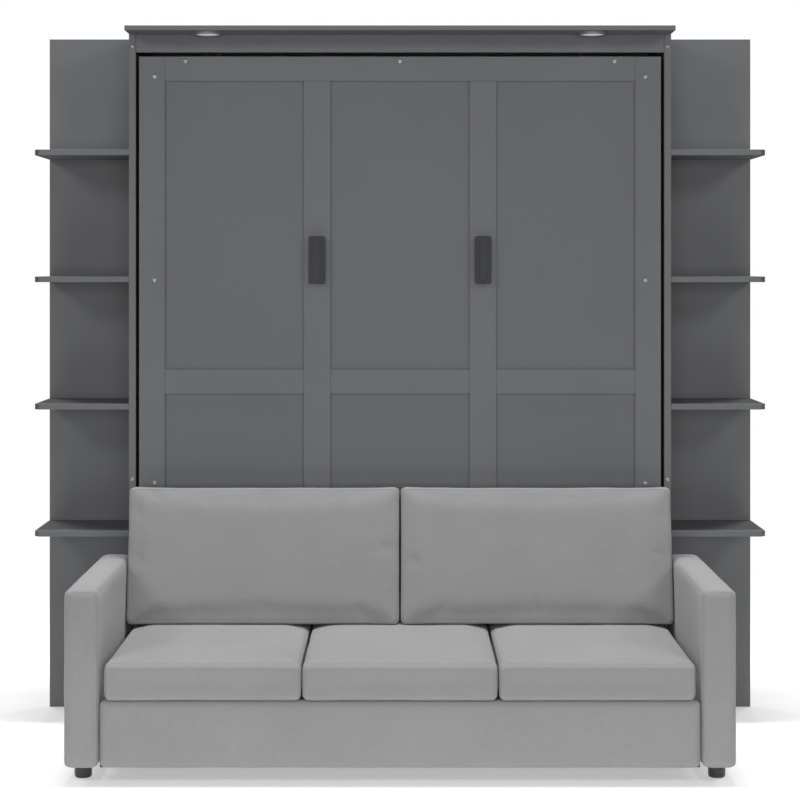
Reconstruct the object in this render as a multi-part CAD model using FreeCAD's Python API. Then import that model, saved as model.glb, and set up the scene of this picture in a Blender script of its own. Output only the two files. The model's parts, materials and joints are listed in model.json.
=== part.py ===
import FreeCAD, Part
import math
import os

os.makedirs("parts", exist_ok=True)

# A vertical wall bed for one standard mattress: a cabinet with a fold-down bed whose underside
# is the panelled door, an open shelf unit on each side, and a three-seat sofa in front.
# Millimetres. X is to the right seen from the front, Y points to the wall and Z is up. The
# origin is on the floor, at the middle of the overall width and the overall depth.
# In the functions below a depth "d" is measured forward from the wall, and a depth "v" is
# measured from the door's outer face back into the cabinet.

# ---- mattress and bed frame ---------------------------------------------------------------
MATTRESS_WIDTH = 1524.0
MATTRESS_LENGTH = 2032.0
MATTRESS_THICKNESS = 160.0
MATTRESS_CORNER = 35.0
MATTRESS_SIDE_GAP = 6.0
MATTRESS_END_GAP = 2.0
SIDE_RAIL = 22.0
END_RAIL = 18.0
RAIL_HEIGHT = 120.0
SLAT_THICKNESS = 12.0
SLAT_WIDTH = 70.0
SLAT_COUNT = 13
SLAT_END_GAP = 2.0
BATTEN_HEIGHT = 18.0
BATTEN_WIDTH = 40.0

# ---- door ---------------------------------------------------------------------------------
DOOR_THICKNESS = 22.0
PANEL_RECESS = 8.0
OUTER_STILE = 82.0
INNER_STILE = 85.0
TOP_RAIL = 78.0
MIDDLE_RAIL = 77.0
MIDDLE_RAIL_ABOVE_PIVOT = 634.0
BOTTOM_RAIL = 90.0
DOOR_END_OVERHANG = 6.0
DOOR_SIDE_OVERHANG = 38.0
DOOR_SIDE_GAP = 10.0
DOOR_TOP_GAP = 13.0
DOOR_BOTTOM_Z = 40.0
DOOR_SETBACK = 3.0
EASED_EDGE = 1.2

BOLT_HEAD_RADIUS = 7.5
BOLT_CROWN_RADIUS = 5.5
BOLT_HEAD_HEIGHT = 2.5
BOLT_SHANK_RADIUS = 3.0
BOLT_GRIP = 30.0
TOP_BOLT_SHARE = 0.913
TOP_BOLT_BELOW_EDGE = 15.0
STILE_BOLTS_BELOW_TOP = (64.0, 710.0, 1355.0, 2000.0)

HANDLE_WIDTH = 51.0
HANDLE_HEIGHT = 150.0
HANDLE_PLATE = 8.0
HANDLE_STANDOFF = 22.0
HANDLE_POST_RADIUS = 8.0
HANDLE_POST_INSET = 22.0
HANDLE_ABOVE_PIVOT = 983.0
HANDLE_ROUNDING = 3.0

# ---- cabinet ------------------------------------------------------------------------------
CABINET_PANEL = 22.0
BACK_PANEL = 6.0
SWEEP_CLEARANCE = 20.0
FASCIA_HEIGHT = 58.0
FASCIA_THICKNESS = 18.0
CROWN_THICKNESS = 15.0
CROWN_OVERHANG = 112.0
PLINTH_HEIGHT = 30.0
REAR_RAIL_HEIGHT = 95.0
REAR_RAIL_THICKNESS = 18.0
WALL_SCREW_RADIUS = 3.0
WALL_SCREW_SPACING = 1219.2
WALL_SCREW_ROWS = 50.0
EDGE_BOLT_RADIUS = 6.5
EDGE_BOLT_HEIGHT = 2.0
EDGE_BOLT_HEIGHTS = (782.0, 2155.0)

LIGHT_RADIUS = 44.0
LIGHT_LENS_RADIUS = 35.0
LIGHT_HEIGHT = 9.0
LIGHT_LENS_INSET = 1.5
LIGHT_FROM_SIDE = 255.0

# ---- side shelf units ---------------------------------------------------------------------
SHELF_UNIT_WIDTH = 300.0
SHELF_DEPTH = 300.0
SHELF_THICKNESS = 18.0
SHELF_BACK = 18.0
SHELF_TOPS = (619.0, 1022.0, 1426.0, 1829.0)
SHELF_CORNER_CUT = 14.0

# ---- hinge, gas struts and legs -----------------------------------------------------------
PIVOT_INSET = 35.0
PIVOT_PIN_RADIUS = 8.0
RUNNING_CLEARANCE = 0.05
RAIL_HOLE_CLEARANCE = 1.0
PLATE = 4.0
PLATE_MARGIN = 32.0
BED_PLATE_WIDTH = 60.0
BED_PLATE_EDGE_GAP = 2.0

STRUT_BELOW_PIVOT = 300.0
STRUT_BEHIND_PIVOT = 15.0
STUD_BEHIND_PIVOT = 43.0
STUD_ABOVE_PIVOT = 43.0
STUD_RADIUS = 6.0
STRUT_LAYER = 20.0
STRUT_WALL_GAP = 12.0
STRUT_RADIUS = 9.0
STRUT_ROD_RADIUS = 5.0
STRUT_EYE_RADIUS = 12.0
STRUT_CYLINDER = 200.0
STRUT_BORE_START = 28.0
STRUT_ROD_OVERLAP = 60.0
LAYER_GAP = 0.5

LEG_WIDTH = 30.0
LEG_LAYER = 24.0
LEG_RAIL_GAP = 8.0
LEG_PIVOT_FROM_END = 44.0
LEG_PIVOT_BEHIND_DOOR = 112.0
LEG_DOOR_GAP = 8.0
LEG_FLOOR_GAP = 1.0
LEG_PAD = 12.0
LEG_PAD_FLARE = 3.0
LEG_BOLT_RADIUS = 6.0
LEG_BOLT_HEAD_RADIUS = 10.0
LEG_BOLT_HEAD = 3.5

# ---- sofa ---------------------------------------------------------------------------------
SOFA_GAP = 3.0
SOFA_DEPTH = 787.0
ARM_WIDTH = 96.0
ARM_HEIGHT = 549.0
ARM_CORE = 36.0
ARM_PADDING_TOP = 28.0
ARM_PADDING_END = 14.0
ARM_BED_GAP = 18.0
FOOT_HEIGHT = 47.0
FOOT_RADIUS = 25.0
FOOT_FROM_SIDE = 37.5
FRONT_FOOT_FROM_FRONT = 115.0
REAR_FOOT_FROM_BACK = 60.0
FRONT_RAIL_TOP = 239.0
FRONT_RAIL_SETBACK = 6.0
FRONT_RAIL_CORE = 42.0
FRONT_RAIL_PADDING = 22.0
FRONT_RAIL_PADDING_TOP = 12.0
REAR_RAIL = 22.0
REAR_RAIL_SETBACK = 17.0
REAR_RAIL_FOOT = 13.0
SEAT_SLAT_WIDTH = 90.0
SEAT_SLAT_COUNT = 8
SEAT_SLAT_SEAT = 20.0
SOFA_SIDE_GAP = 1.0

SEAT_CUSHION = 117.0
CENTRE_CUSHION_WIDTH = 549.0
CUSHION_GAP = 3.0
SEAT_CUSHION_ARM_GAP = 14.0
SEAT_BACK_GAP = 10.0
OPEN_BED_ABOVE_SEAT = 29.0
CUSHION_ROUNDING = 12.0

BACK_CUSHION_HEIGHT = 413.0
BACK_CUSHION_THICKNESS = 130.0
BACK_CUSHION_LEAN = 13.0
BACK_CUSHION_SIDE_GAP = 2.0
BACK_CUSHION_DOOR_GAP = 4.0
BACK_CUSHION_SEAT_GAP = 1.0

# ---- sizes that follow from the ones above -------------------------------------------------
FRAME_INNER = MATTRESS_WIDTH / 2 + MATTRESS_SIDE_GAP
FRAME_OUTER = FRAME_INNER + SIDE_RAIL
DOOR_HALF = FRAME_OUTER + DOOR_SIDE_OVERHANG
CABINET_INNER = DOOR_HALF + DOOR_SIDE_GAP
CABINET_HALF = CABINET_INNER + CABINET_PANEL
OVERALL_HALF = CABINET_HALF + SHELF_UNIT_WIDTH

HEAD_RAIL_Z = DOOR_BOTTOM_Z + DOOR_END_OVERHANG
MATTRESS_HEAD_Z = HEAD_RAIL_Z + END_RAIL + MATTRESS_END_GAP
MATTRESS_FOOT_Z = MATTRESS_HEAD_Z + MATTRESS_LENGTH
FOOT_RAIL_Z = MATTRESS_FOOT_Z + MATTRESS_END_GAP
FRAME_END_Z = FOOT_RAIL_Z + END_RAIL
DOOR_TOP_Z = FRAME_END_Z + DOOR_END_OVERHANG
FASCIA_Z = DOOR_TOP_Z + DOOR_TOP_GAP
CROWN_Z = FASCIA_Z + FASCIA_HEIGHT
CABINET_HEIGHT = CROWN_Z + CROWN_THICKNESS

SEAT_TOP_Z = FRONT_RAIL_TOP + SEAT_CUSHION
OPEN_DOOR_Z = SEAT_TOP_Z + OPEN_BED_ABOVE_SEAT
PIVOT_Z = OPEN_DOOR_Z + PIVOT_INSET

MATTRESS_V = DOOR_THICKNESS + BATTEN_HEIGHT + SLAT_THICKNESS
BED_THICKNESS = MATTRESS_V + MATTRESS_THICKNESS
RAIL_V = DOOR_THICKNESS + RAIL_HEIGHT
SWEEP_RADIUS = max(
    math.hypot(PIVOT_Z - MATTRESS_HEAD_Z, BED_THICKNESS - PIVOT_INSET),
    math.hypot(PIVOT_Z - HEAD_RAIL_Z, RAIL_V - PIVOT_INSET),
)
CABINET_DEPTH = math.ceil(DOOR_SETBACK + PIVOT_INSET + SWEEP_RADIUS + SWEEP_CLEARANCE + BACK_PANEL)
DOOR_FACE = CABINET_DEPTH - DOOR_SETBACK
PIVOT_D = DOOR_FACE - PIVOT_INSET

SOFA_BACK = CABINET_DEPTH + SOFA_GAP
SOFA_FRONT = SOFA_BACK + SOFA_DEPTH
WALL_Y = SOFA_FRONT / 2
ARM_INNER = DOOR_HALF + ARM_BED_GAP
ARM_OUTER = ARM_INNER + ARM_WIDTH

PANEL_WIDTH = 2 * (DOOR_HALF - OUTER_STILE - INNER_STILE) / 3
STILE_X = (PANEL_WIDTH + INNER_STILE) / 2
MIDDLE_RAIL_Z = PIVOT_Z + MIDDLE_RAIL_ABOVE_PIVOT

STRUT_X1 = CABINET_INNER - STRUT_WALL_GAP
STRUT_X0 = STRUT_X1 - STRUT_LAYER
STRUT_X = (STRUT_X0 + STRUT_X1) / 2
BED_EYE = (PIVOT_D - STRUT_BEHIND_PIVOT, PIVOT_Z - STRUT_BELOW_PIVOT)
CABINET_EYE = (PIVOT_D - STUD_BEHIND_PIVOT, PIVOT_Z + STUD_ABOVE_PIVOT)
STRUT_SPAN = math.hypot(CABINET_EYE[0] - BED_EYE[0], CABINET_EYE[1] - BED_EYE[1])

LEG_PIVOT_Z = DOOR_TOP_Z - LEG_PIVOT_FROM_END
LEG_PIVOT_D = DOOR_FACE - LEG_PIVOT_BEHIND_DOOR
LEG_OFFSET = LEG_PIVOT_FROM_END + LEG_DOOR_GAP + LEG_WIDTH / 2
LEG_LENGTH = OPEN_DOOR_Z + LEG_PIVOT_BEHIND_DOOR - LEG_FLOOR_GAP
LEG_X0 = FRAME_OUTER + LEG_RAIL_GAP
LEG_X1 = LEG_X0 + LEG_LAYER

DECK_TOP_Z = FRONT_RAIL_TOP
RAIL_CORE_TOP_Z = FRONT_RAIL_TOP - FRONT_RAIL_PADDING_TOP
RAIL_FACE_D = SOFA_FRONT - FRONT_RAIL_SETBACK
RAIL_CORE_D = RAIL_FACE_D - FRONT_RAIL_PADDING
SOFA_HALF = ARM_INNER - SOFA_SIDE_GAP

SIDES = (("left", -1), ("right", 1))


# ---- drawing helpers -----------------------------------------------------------------------
def slab(x0, x1, d0, d1, z0, z1):
    """A box from x0 to x1, from d0 to d1 in front of the wall and from z0 to z1 above the floor."""
    return Part.makeBox(x1 - x0, d1 - d0, z1 - z0, FreeCAD.Vector(x0, WALL_Y - d1, z0))


def bed_slab(x0, x1, v0, v1, z0, z1):
    """A box on the stowed bed, from v0 to v1 behind the door's outer face."""
    return slab(x0, x1, DOOR_FACE - v1, DOOR_FACE - v0, z0, z1)


def rod_x(x0, x1, d, z, radius):
    """A round bar along X."""
    start = FreeCAD.Vector(x0, WALL_Y - d, z)
    return Part.makeCylinder(radius, x1 - x0, start, FreeCAD.Vector(1, 0, 0))


def rod_d(x, d0, d1, z, radius):
    """A round bar square to the wall, from d0 to d1."""
    start = FreeCAD.Vector(x, WALL_Y - d1, z)
    return Part.makeCylinder(radius, d1 - d0, start, FreeCAD.Vector(0, 1, 0))


def rod_z(x, d, z0, z1, radius):
    """An upright round bar."""
    return Part.makeCylinder(radius, z1 - z0, FreeCAD.Vector(x, WALL_Y - d, z0))


def strut_bar(start, end, radius):
    """A round bar along the strut's centre line, between two distances from its eye on the bed."""
    low = FreeCAD.Vector(STRUT_X, WALL_Y - BED_EYE[0], BED_EYE[1])
    high = FreeCAD.Vector(STRUT_X, WALL_Y - CABINET_EYE[0], CABINET_EYE[1])
    along = (high - low).normalize()
    return Part.makeCylinder(radius, end - start, low + along * start, along)


def eased(shape):
    """The same board with its sharp edges rubbed round."""
    return shape.makeFillet(EASED_EDGE, shape.Edges)


def sided(shape, side):
    """A right-hand piece, mirrored for the left side."""
    if side > 0:
        return shape
    return shape.mirror(FreeCAD.Vector(0, 0, 0), FreeCAD.Vector(1, 0, 0))


def group(shapes):
    """Several separate pieces of one kind."""
    return Part.makeCompound(shapes)


def pair(shape):
    """A right-hand piece and its mirror image."""
    return group([sided(shape, side) for name, side in SIDES])


# ---- cabinet -------------------------------------------------------------------------------
def wall_screw_points():
    middle = CROWN_Z - REAR_RAIL_HEIGHT / 2
    rows = (middle - WALL_SCREW_ROWS / 2, middle + WALL_SCREW_ROWS / 2)
    return [(side * WALL_SCREW_SPACING / 2, z) for name, side in SIDES for z in rows]


def wall_screw_holes():
    depth = BACK_PANEL + REAR_RAIL_THICKNESS
    return group([rod_d(x, 0, depth, z, WALL_SCREW_RADIUS) for x, z in wall_screw_points()])


def cabinet_side():
    return eased(slab(CABINET_INNER, CABINET_HALF, 0, CABINET_DEPTH, 0, CROWN_Z))


def crown():
    front = CABINET_DEPTH + CROWN_OVERHANG
    return eased(slab(-CABINET_HALF, CABINET_HALF, 0, front, CROWN_Z, CABINET_HEIGHT))


def fascia():
    back = DOOR_FACE - FASCIA_THICKNESS
    return eased(slab(-CABINET_INNER, CABINET_INNER, back, DOOR_FACE, FASCIA_Z, CROWN_Z))


def plinth():
    back = DOOR_FACE - FASCIA_THICKNESS
    return slab(-CABINET_INNER, CABINET_INNER, back, DOOR_FACE, 0, PLINTH_HEIGHT)


def back_panel():
    board = slab(-CABINET_INNER, CABINET_INNER, 0, BACK_PANEL, 0, CROWN_Z)
    return board.cut(wall_screw_holes())


def rear_rail():
    front = BACK_PANEL + REAR_RAIL_THICKNESS
    bottom = CROWN_Z - REAR_RAIL_HEIGHT
    board = slab(-CABINET_INNER, CABINET_INNER, BACK_PANEL, front, bottom, CROWN_Z)
    return board.cut(wall_screw_holes())


def edge_bolts():
    x = CABINET_INNER + CABINET_PANEL / 2
    front = CABINET_DEPTH + EDGE_BOLT_HEIGHT
    heads = [rod_d(x, CABINET_DEPTH, front, z, EDGE_BOLT_RADIUS) for z in EDGE_BOLT_HEIGHTS]
    return pair(group(heads))


def light_place():
    return CABINET_HALF - LIGHT_FROM_SIDE, CABINET_DEPTH + CROWN_OVERHANG / 2


def light_ring():
    x, d = light_place()
    disc = rod_z(x, d, CROWN_Z - LIGHT_HEIGHT, CROWN_Z, LIGHT_RADIUS)
    return disc.cut(rod_z(x, d, CROWN_Z - LIGHT_HEIGHT, CROWN_Z, LIGHT_LENS_RADIUS))


def light_lens():
    x, d = light_place()
    return rod_z(x, d, CROWN_Z - LIGHT_HEIGHT + LIGHT_LENS_INSET, CROWN_Z, LIGHT_LENS_RADIUS)


# ---- side shelf units ----------------------------------------------------------------------
def shelf_unit_back():
    front = CABINET_DEPTH - SHELF_DEPTH
    board = slab(CABINET_HALF, OVERALL_HALF, front - SHELF_BACK, front, 0, CABINET_HEIGHT)
    return eased(board)


def shelf(top):
    back = CABINET_DEPTH - SHELF_DEPTH
    outline = [
        (CABINET_HALF, back),
        (OVERALL_HALF, back),
        (OVERALL_HALF, CABINET_DEPTH - SHELF_CORNER_CUT),
        (OVERALL_HALF - SHELF_CORNER_CUT, CABINET_DEPTH),
        (CABINET_HALF, CABINET_DEPTH),
    ]
    points = [FreeCAD.Vector(x, WALL_Y - d, top - SHELF_THICKNESS) for x, d in outline]
    face = Part.Face(Part.makePolygon(points + points[:1]))
    return eased(face.extrude(FreeCAD.Vector(0, 0, SHELF_THICKNESS)))


# ---- door ----------------------------------------------------------------------------------
def stile_bolt_points():
    x = (FRAME_INNER + FRAME_OUTER) / 2
    spots = [DOOR_TOP_Z - below for below in STILE_BOLTS_BELOW_TOP]
    return [(side * x, z) for name, side in SIDES for z in spots]


def top_bolt_points():
    reach = (DOOR_HALF - OUTER_STILE) * TOP_BOLT_SHARE
    z = DOOR_TOP_Z - TOP_BOLT_BELOW_EDGE
    return [(-reach, z), (0, z), (reach, z)]


def bolt_holes():
    spots = stile_bolt_points() + top_bolt_points()
    depth = DOOR_FACE - DOOR_THICKNESS - BOLT_GRIP
    return group([rod_d(x, depth, DOOR_FACE, z, BOLT_SHANK_RADIUS) for x, z in spots])


def door_bolts():
    bolts = []
    for x, z in stile_bolt_points() + top_bolt_points():
        shank_end = DOOR_FACE - DOOR_THICKNESS - BOLT_GRIP
        shank = rod_d(x, shank_end, DOOR_FACE, z, BOLT_SHANK_RADIUS)
        seat = FreeCAD.Vector(x, WALL_Y - DOOR_FACE, z)
        forward = FreeCAD.Vector(0, -1, 0)
        head = Part.makeCone(BOLT_HEAD_RADIUS, BOLT_CROWN_RADIUS, BOLT_HEAD_HEIGHT, seat, forward)
        bolts.append(head.fuse(shank))
    return group(bolts)


def outer_stile():
    inner = DOOR_HALF - OUTER_STILE
    board = bed_slab(inner, DOOR_HALF, 0, DOOR_THICKNESS, DOOR_BOTTOM_Z, DOOR_TOP_Z)
    return eased(board).cut(bolt_holes())


def inner_stile():
    low = DOOR_BOTTOM_Z + BOTTOM_RAIL
    high = DOOR_TOP_Z - TOP_RAIL
    x0 = STILE_X - INNER_STILE / 2
    return eased(bed_slab(x0, x0 + INNER_STILE, 0, DOOR_THICKNESS, low, high))


def door_top_rail():
    half = DOOR_HALF - OUTER_STILE
    board = bed_slab(-half, half, 0, DOOR_THICKNESS, DOOR_TOP_Z - TOP_RAIL, DOOR_TOP_Z)
    return eased(board).cut(bolt_holes())


def door_bottom_rail():
    half = DOOR_HALF - OUTER_STILE
    top = DOOR_BOTTOM_Z + BOTTOM_RAIL
    return eased(bed_slab(-half, half, 0, DOOR_THICKNESS, DOOR_BOTTOM_Z, top))


def panel_columns():
    """The three spaces between the stiles, from left to right."""
    side = (STILE_X + INNER_STILE / 2, DOOR_HALF - OUTER_STILE)
    middle = STILE_X - INNER_STILE / 2
    return [(-side[1], -side[0]), (-middle, middle), side]


def door_middle_rail():
    top = MIDDLE_RAIL_Z + MIDDLE_RAIL
    pieces = []
    for x0, x1 in panel_columns():
        pieces.append(eased(bed_slab(x0, x1, 0, PANEL_RECESS, MIDDLE_RAIL_Z, top)))
    return group(pieces)


def door_panel(x0, x1):
    low = DOOR_BOTTOM_Z + BOTTOM_RAIL
    high = DOOR_TOP_Z - TOP_RAIL
    return bed_slab(x0, x1, PANEL_RECESS, DOOR_THICKNESS, low, high)


def handle():
    z0 = PIVOT_Z + HANDLE_ABOVE_PIVOT
    z1 = z0 + HANDLE_HEIGHT
    x0 = STILE_X - HANDLE_WIDTH / 2
    plate = bed_slab(x0, x0 + HANDLE_WIDTH, -HANDLE_STANDOFF - HANDLE_PLATE, -HANDLE_STANDOFF, z0, z1)
    grip = plate.makeFillet(HANDLE_ROUNDING, plate.Edges)
    for z in (z0 + HANDLE_POST_INSET, z1 - HANDLE_POST_INSET):
        tip = DOOR_FACE + HANDLE_STANDOFF + HANDLE_PLATE / 2
        grip = grip.fuse(rod_d(STILE_X, DOOR_FACE, tip, z, HANDLE_POST_RADIUS))
    return grip.removeSplitter()


# ---- bed frame and mattress ----------------------------------------------------------------
def side_rail():
    board = bed_slab(FRAME_INNER, FRAME_OUTER, DOOR_THICKNESS, RAIL_V, HEAD_RAIL_Z, FRAME_END_Z)
    hole = rod_x(
        FRAME_INNER, FRAME_OUTER, PIVOT_D, PIVOT_Z, PIVOT_PIN_RADIUS + RAIL_HOLE_CLEARANCE
    )
    return board.cut(hole).cut(bolt_holes())


def end_rail(z0):
    board = bed_slab(-FRAME_INNER, FRAME_INNER, DOOR_THICKNESS, RAIL_V, z0, z0 + END_RAIL)
    return board.cut(bolt_holes())


def slat_battens():
    back = DOOR_THICKNESS + BATTEN_HEIGHT
    low = HEAD_RAIL_Z + END_RAIL
    starts = (-FRAME_INNER, -BATTEN_WIDTH / 2, FRAME_INNER - BATTEN_WIDTH)
    pieces = []
    for x0 in starts:
        pieces.append(bed_slab(x0, x0 + BATTEN_WIDTH, DOOR_THICKNESS, back, low, FOOT_RAIL_Z))
    return group(pieces)


def bed_slats():
    front = DOOR_THICKNESS + BATTEN_HEIGHT
    half = FRAME_INNER - SLAT_END_GAP
    room = FOOT_RAIL_Z - HEAD_RAIL_Z - END_RAIL
    pitch = room / SLAT_COUNT
    slats = []
    for number in range(SLAT_COUNT):
        z0 = HEAD_RAIL_Z + END_RAIL + pitch * (number + 0.5) - SLAT_WIDTH / 2
        slats.append(bed_slab(-half, half, front, MATTRESS_V, z0, z0 + SLAT_WIDTH))
    return group(slats)


def mattress():
    half = MATTRESS_WIDTH / 2
    block = bed_slab(-half, half, MATTRESS_V, BED_THICKNESS, MATTRESS_HEAD_Z, MATTRESS_FOOT_Z)
    return block.makeFillet(MATTRESS_CORNER, block.Edges)


# ---- hinge ---------------------------------------------------------------------------------
def cabinet_plate():
    """The steel plate on the cabinet side, with the strut's stud welded on."""
    x0 = CABINET_INNER - PLATE
    low = PIVOT_Z - PLATE_MARGIN
    high = CABINET_EYE[1] + PLATE_MARGIN
    back = CABINET_EYE[0] - PLATE_MARGIN
    plate = slab(x0, CABINET_INNER, back, PIVOT_D + PLATE_MARGIN, low, high)
    stud = rod_x(STRUT_X1 + LAYER_GAP, x0, CABINET_EYE[0], CABINET_EYE[1], STUD_RADIUS)
    return plate.fuse(stud)


def pivot_pin():
    return rod_x(FRAME_INNER, CABINET_INNER - PLATE, PIVOT_D, PIVOT_Z, PIVOT_PIN_RADIUS)


def bed_plate():
    """The steel strip on the bed's side rail, with the pivot's bore and the strut's lower stud."""
    x1 = FRAME_OUTER + PLATE
    v0 = DOOR_THICKNESS + BED_PLATE_EDGE_GAP
    low = BED_EYE[1] - PLATE_MARGIN
    high = PIVOT_Z + PLATE_MARGIN
    plate = bed_slab(FRAME_OUTER, x1, v0, v0 + BED_PLATE_WIDTH, low, high)
    bore = rod_x(FRAME_OUTER, x1, PIVOT_D, PIVOT_Z, PIVOT_PIN_RADIUS + RUNNING_CLEARANCE)
    stud = rod_x(x1, STRUT_X1, BED_EYE[0], BED_EYE[1], STUD_RADIUS)
    collar = rod_x(x1, STRUT_X0 - LAYER_GAP, BED_EYE[0], BED_EYE[1], STRUT_EYE_RADIUS)
    return plate.cut(bore).fuse(stud).fuse(collar).removeSplitter()


# ---- gas strut -----------------------------------------------------------------------------
def strut_cylinder():
    tube = strut_bar(0, STRUT_CYLINDER, STRUT_RADIUS)
    eye = rod_x(STRUT_X0, STRUT_X1, BED_EYE[0], BED_EYE[1], STRUT_EYE_RADIUS)
    bore = strut_bar(STRUT_BORE_START, STRUT_CYLINDER, STRUT_ROD_RADIUS + RUNNING_CLEARANCE)
    hole = rod_x(STRUT_X0, STRUT_X1, BED_EYE[0], BED_EYE[1], STUD_RADIUS + RUNNING_CLEARANCE)
    return tube.fuse(eye).cut(bore).cut(hole).removeSplitter()


def strut_rod():
    rod = strut_bar(STRUT_CYLINDER - STRUT_ROD_OVERLAP, STRUT_SPAN, STRUT_ROD_RADIUS)
    eye = rod_x(STRUT_X0, STRUT_X1, CABINET_EYE[0], CABINET_EYE[1], STRUT_EYE_RADIUS)
    hole = rod_x(STRUT_X0, STRUT_X1, CABINET_EYE[0], CABINET_EYE[1], STUD_RADIUS)
    return rod.fuse(eye).cut(hole).removeSplitter()


# ---- folding legs --------------------------------------------------------------------------
def leg():
    """An L of square tube on a rubber pad. The short arm carries the long one past the door."""
    half = LEG_WIDTH / 2
    bar_d = LEG_PIVOT_D + LEG_OFFSET
    tip = LEG_PIVOT_Z - LEG_LENGTH
    low = tip + LEG_PAD
    long_arm = slab(LEG_X0, LEG_X1, bar_d - half, bar_d + half, low, LEG_PIVOT_Z + half)
    short_arm = slab(
        LEG_X0, LEG_X1, LEG_PIVOT_D, bar_d, LEG_PIVOT_Z - half, LEG_PIVOT_Z + half
    )
    end = rod_x(LEG_X0, LEG_X1, LEG_PIVOT_D, LEG_PIVOT_Z, half)
    hole = rod_x(LEG_X0, LEG_X1, LEG_PIVOT_D, LEG_PIVOT_Z, LEG_BOLT_RADIUS + RUNNING_CLEARANCE)
    frame = long_arm.fuse(short_arm).fuse(end).cut(hole).removeSplitter()
    reach = half + LEG_PAD_FLARE
    pad = slab(LEG_X0 - LEG_PAD_FLARE, LEG_X1, bar_d - reach, bar_d + reach, tip, low)
    return group([frame, pad])


def leg_bolt():
    shank = rod_x(FRAME_OUTER, LEG_X1 + LAYER_GAP, LEG_PIVOT_D, LEG_PIVOT_Z, LEG_BOLT_RADIUS)
    head_start = LEG_X1 + LAYER_GAP
    head = rod_x(
        head_start, head_start + LEG_BOLT_HEAD, LEG_PIVOT_D, LEG_PIVOT_Z, LEG_BOLT_HEAD_RADIUS
    )
    washer = rod_x(
        FRAME_OUTER, LEG_X0 - LAYER_GAP, LEG_PIVOT_D, LEG_PIVOT_Z, LEG_BOLT_HEAD_RADIUS
    )
    return shank.fuse(head).fuse(washer).removeSplitter()


# ---- sofa ----------------------------------------------------------------------------------
def arm_core():
    x0 = ARM_INNER + (ARM_WIDTH - ARM_CORE) / 2
    top = ARM_HEIGHT - ARM_PADDING_TOP
    back = SOFA_BACK + ARM_PADDING_END
    return slab(x0, x0 + ARM_CORE, back, SOFA_FRONT - ARM_PADDING_END, FOOT_HEIGHT, top)


def arm_padding():
    block = slab(ARM_INNER, ARM_OUTER, SOFA_BACK, SOFA_FRONT, FOOT_HEIGHT, ARM_HEIGHT)
    return block.cut(arm_core())


def front_rail_core():
    back = RAIL_CORE_D - FRONT_RAIL_CORE
    return slab(-SOFA_HALF, SOFA_HALF, back, RAIL_CORE_D, FOOT_HEIGHT, RAIL_CORE_TOP_Z)


def front_rail_padding():
    back = RAIL_CORE_D - FRONT_RAIL_CORE + SEAT_SLAT_SEAT
    block = slab(-SOFA_HALF, SOFA_HALF, back, RAIL_FACE_D, FOOT_HEIGHT, FRONT_RAIL_TOP)
    return block.cut(front_rail_core())


def rear_seat_rail():
    back = SOFA_BACK + REAR_RAIL_SETBACK
    low = FOOT_HEIGHT + REAR_RAIL_FOOT
    return slab(-SOFA_HALF, SOFA_HALF, back, back + REAR_RAIL, low, RAIL_CORE_TOP_Z)


def seat_slats():
    back = SOFA_BACK + REAR_RAIL_SETBACK
    front = RAIL_CORE_D - FRONT_RAIL_CORE + SEAT_SLAT_SEAT
    pitch = 2 * SOFA_HALF / SEAT_SLAT_COUNT
    slats = []
    for number in range(SEAT_SLAT_COUNT):
        x0 = -SOFA_HALF + pitch * (number + 0.5) - SEAT_SLAT_WIDTH / 2
        slats.append(slab(x0, x0 + SEAT_SLAT_WIDTH, back, front, RAIL_CORE_TOP_Z, DECK_TOP_Z))
    return group(slats)


def sofa_feet():
    x = ARM_OUTER - FOOT_FROM_SIDE
    depths = (SOFA_BACK + REAR_FOOT_FROM_BACK, SOFA_FRONT - FRONT_FOOT_FROM_FRONT)
    return pair(group([rod_z(x, d, 0, FOOT_HEIGHT, FOOT_RADIUS) for d in depths]))


def seat_cushion(x0, x1):
    back = SOFA_BACK + SEAT_BACK_GAP
    block = slab(x0, x1, back, SOFA_FRONT, DECK_TOP_Z, SEAT_TOP_Z)
    return block.makeFillet(CUSHION_ROUNDING, block.Edges)


def back_cushion():
    """A pad that stands flat on the seat and leans its top edge on the door."""
    lean = math.radians(BACK_CUSHION_LEAN)
    low = SEAT_TOP_Z + BACK_CUSHION_SEAT_GAP
    front_high = low + BACK_CUSHION_HEIGHT
    rear_high = front_high - BACK_CUSHION_THICKNESS * math.sin(lean)
    rear_top = DOOR_FACE + BACK_CUSHION_DOOR_GAP
    front_top = rear_top + BACK_CUSHION_THICKNESS * math.cos(lean)
    rear_foot = rear_top + (rear_high - low) * math.tan(lean)
    front_foot = front_top + (front_high - low) * math.tan(lean)
    outline = (
        (rear_foot, low),
        (front_foot, low),
        (front_top, front_high),
        (rear_top, rear_high),
    )
    x0 = BACK_CUSHION_SIDE_GAP
    x1 = ARM_INNER - BACK_CUSHION_SIDE_GAP
    corners = [FreeCAD.Vector(x0, WALL_Y - d, z) for d, z in outline]
    face = Part.Face(Part.makePolygon(corners + corners[:1]))
    block = face.extrude(FreeCAD.Vector(x1 - x0, 0, 0))
    return block.makeFillet(CUSHION_ROUNDING, block.Edges)


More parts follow.
